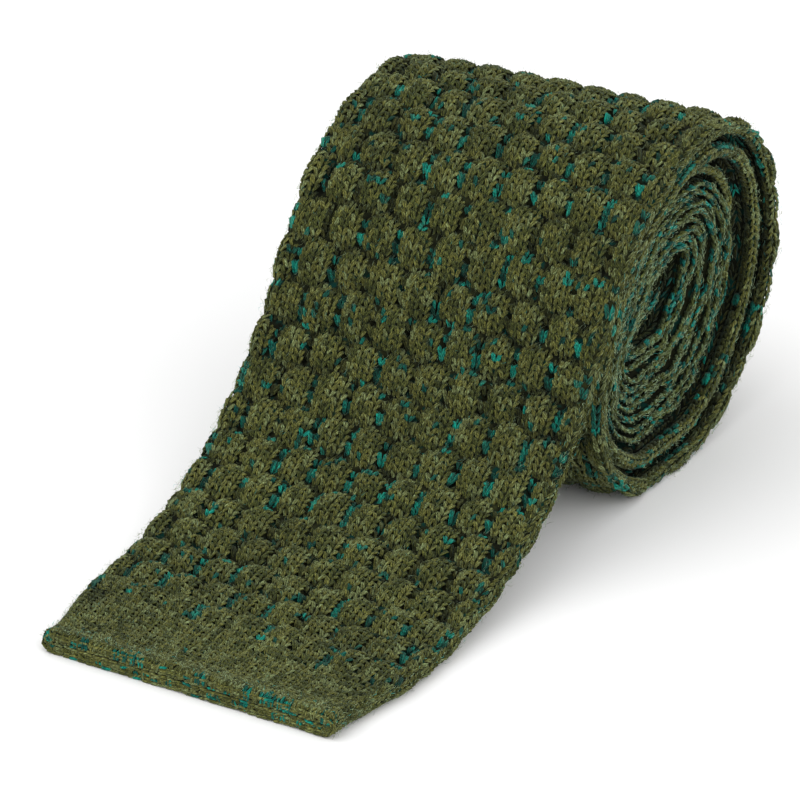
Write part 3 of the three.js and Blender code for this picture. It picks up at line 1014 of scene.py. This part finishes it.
def add_stitches():
    olive = yarn_material("bubble_yarn", (0.93, 0.95, 0.88))
    inner = yarn_material("neck_yarn", (0.86, 1.02, 1.04))
    made = {
        "hem_ticks": hem_ticks("hem_ticks", BLADE_WALES, olive),
        "hem_braid": hem_braid("hem_braid", BLADE_WALES, olive),
    }
    whole = TOP_LOW + BLADE_WALES
    spans = (
        ("end_stitches", TOP_LOW, TOP_HIGH, -3, band_end, 2),
        ("end_under_stitches", TOP_HIGH, whole, -3, band_end, 1),
        ("flap_stitches", TOP_LOW, TOP_HIGH, band_end, roll_start, 2),
        ("flap_under_stitches", TOP_HIGH, whole, band_end, roll_start, 1),
        ("turn_stitches_a", TOP_LOW, TOP_HIGH, roll_start, turn_middle, 2),
        ("turn_stitches_b", TOP_LOW, TOP_HIGH, turn_middle, turn_end, 2),
    )
    for name, low, high, first, last, plies in spans:
        grid = stitch_grid(low, high, first, last, BLADE_WALES)
        made[name] = stitch_legs(name, grid, BLADE_WALES, olive, plies=plies)
    edges = (
        ("under_edge_stitches", 3, 6, roll_start, turn_end, BLADE_WALES, olive, 1.0, 1.0),
        ("inner_edge_stitches", -3, 4, turn_end, wide_end, BLADE_WALES, olive, 1.0, 1.0),
        ("neck_stitches", -2, 2, wide_end, tail_start, NECK_WALES, inner, 0.6, 0.85),
        ("tail_stitches", -2, 4, tail_start, tail_end, NECK_WALES, inner, 0.7, 0.9),
    )
    grids = [edge_grid(low, high, first, last, wales) for _, low, high, first, last, wales, *_ in edges]
    for grid, (name, *_, wales, material, squash, thin) in zip(grids, edges):
        made[name] = stitch_legs(name, grid, wales, material, squash, 1, thin)
    return made


def by_folds(count, wales, spread, inward=0.0):
    side = np.where(rng.random(count) < 0.5, -1, 1)
    return side * (wales / 4 - inward + rng.normal(0, spread, count))


# Fibres on the upper face, or by the folds where a spread is given. Columns: piece, count, wales, spread,
# start and end along the tie, material, reach, rise, along, sink, thickness.
def add_fuzz():
    # The fibres by the folds and the hem are about twice as bright: partly pale fibre, partly painted
    # highlight along the crests
    fibre, pale_lit = fuzz_material("loose_fibre", 0.9), fuzz_material("pale_lit_fibre", 1.9)
    tail = MARKS["end"] - 1
    rows = (
        ("blade_fuzz", 6000, BLADE_WALES, (), 1, turn_at(1.0), fibre, 0.65, 0.5, 0.0, 0.3, 0.018),
        ("blade_fibres", 8000, BLADE_WALES, (), 1, turn_at(1.0), fibre, 0.8, 0.12, 1.1, 0.0, 0.03),
        ("edge_fuzz", 6000, BLADE_WALES, (0.4, 0.4), 0.5, turn_at(2.4), pale_lit, 0.6, 0.3, 1.6, 0.05, 0.03),
        ("neck_fuzz", 7000, NECK_WALES, (0.1,), turn_at(2.45), tail, pale_lit, 0.65, 0.25, 2.6, -0.05, 0.042),
        ("hem_fuzz", 500, BLADE_WALES, (), 0.2, 4, pale_lit, 0.6, 0.3, 0.5, 0.1, 0.03),
    )
    made = {}
    for name, count, wales, spread, near, far, material, reach, rise, along, sink, thin in rows:
        if spread:
            wale = by_folds(count, wales, *spread)
        else:
            wale = rng.uniform(TOP_LOW + 1, TOP_HIGH - 1, count)
        distance = rng.uniform(near, far, count)
        made[name] = fuzz(name, wale, distance, wales, material, reach, rise, along, sink, thin)
    return made


pieces = {**add_shells(), **add_stitches(), **add_fuzz()}
replaced = {"end_base": "end_band", "blade_base": "front_blade", "neck_base": "neck_band",
            "tail_base": "tail_blade"}


for name, piece in pieces.items():
    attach(piece, "root")
for name, cad in replaced.items():
    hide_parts(cad)


def add_camera():
    azimuth, elevation = math.radians(28.19), math.radians(25.24)
    level, rise = math.cos(elevation), math.sin(elevation)
    back = Vector((math.sin(azimuth) * level, -math.cos(azimuth) * level, rise))
    right = Vector((math.cos(azimuth), math.sin(azimuth), 0))
    up = back.cross(right)
    target = Vector((2.56, -8.04, 28.96)) * MM
    away = 1.4848
    data = bpy.data.cameras.new("camera")
    data.lens = 360
    data.clip_end = 50
    camera = bpy.data.objects.new("camera", data)
    turn = Matrix((right, up, back)).transposed().to_4x4()
    camera.matrix_world = Matrix.Translation(target + back * away) @ turn
    bpy.context.scene.collection.objects.link(camera)
    bpy.context.scene.camera = camera


def add_light(name, size, power, location, aim):
    data = bpy.data.lights.new(name, "AREA")
    data.size = size
    data.energy = power
    light = bpy.data.objects.new(name, data)
    light.location = location
    light.rotation_euler = (Vector(aim) - Vector(location)).to_track_quat("-Z", "Y").to_euler()
    bpy.context.scene.collection.objects.link(light)


def add_stage():
    mesh = bpy.data.meshes.new("floor")
    reach = 6.0
    corners = [(-reach, -reach, 0), (reach, -reach, 0), (reach, reach, 0), (-reach, reach, 0)]
    mesh.from_pydata(corners, [], [(0, 1, 2, 3)])
    floor = bpy.data.objects.new("floor", mesh)
    bpy.context.scene.collection.objects.link(floor)
    material = bpy.data.materials.new("floor")
    shader, _ = principled(material)
    set_inputs(shader, {"Base Color": (0.9, 0.9, 0.9, 1), "Roughness": 0.9, "Specular IOR Level": 0.1})
    mesh.materials.append(material)
    world = bpy.data.worlds.new("studio")
    world.use_nodes = True
    set_inputs(world.node_tree.nodes["Background"], {"Color": (1, 1, 1, 1), "Strength": 0.95})
    bpy.context.scene.world = world


add_camera()
add_stage()
add_light("key", 2.0, 10, (-0.7, -0.5, 1.1), (0, 0, 0.02))
add_light("fill", 1.2, 6, (1.0, -0.5, 0.6), (0, 0.02, 0.03))
bpy.context.scene.view_settings.view_transform = "Standard"
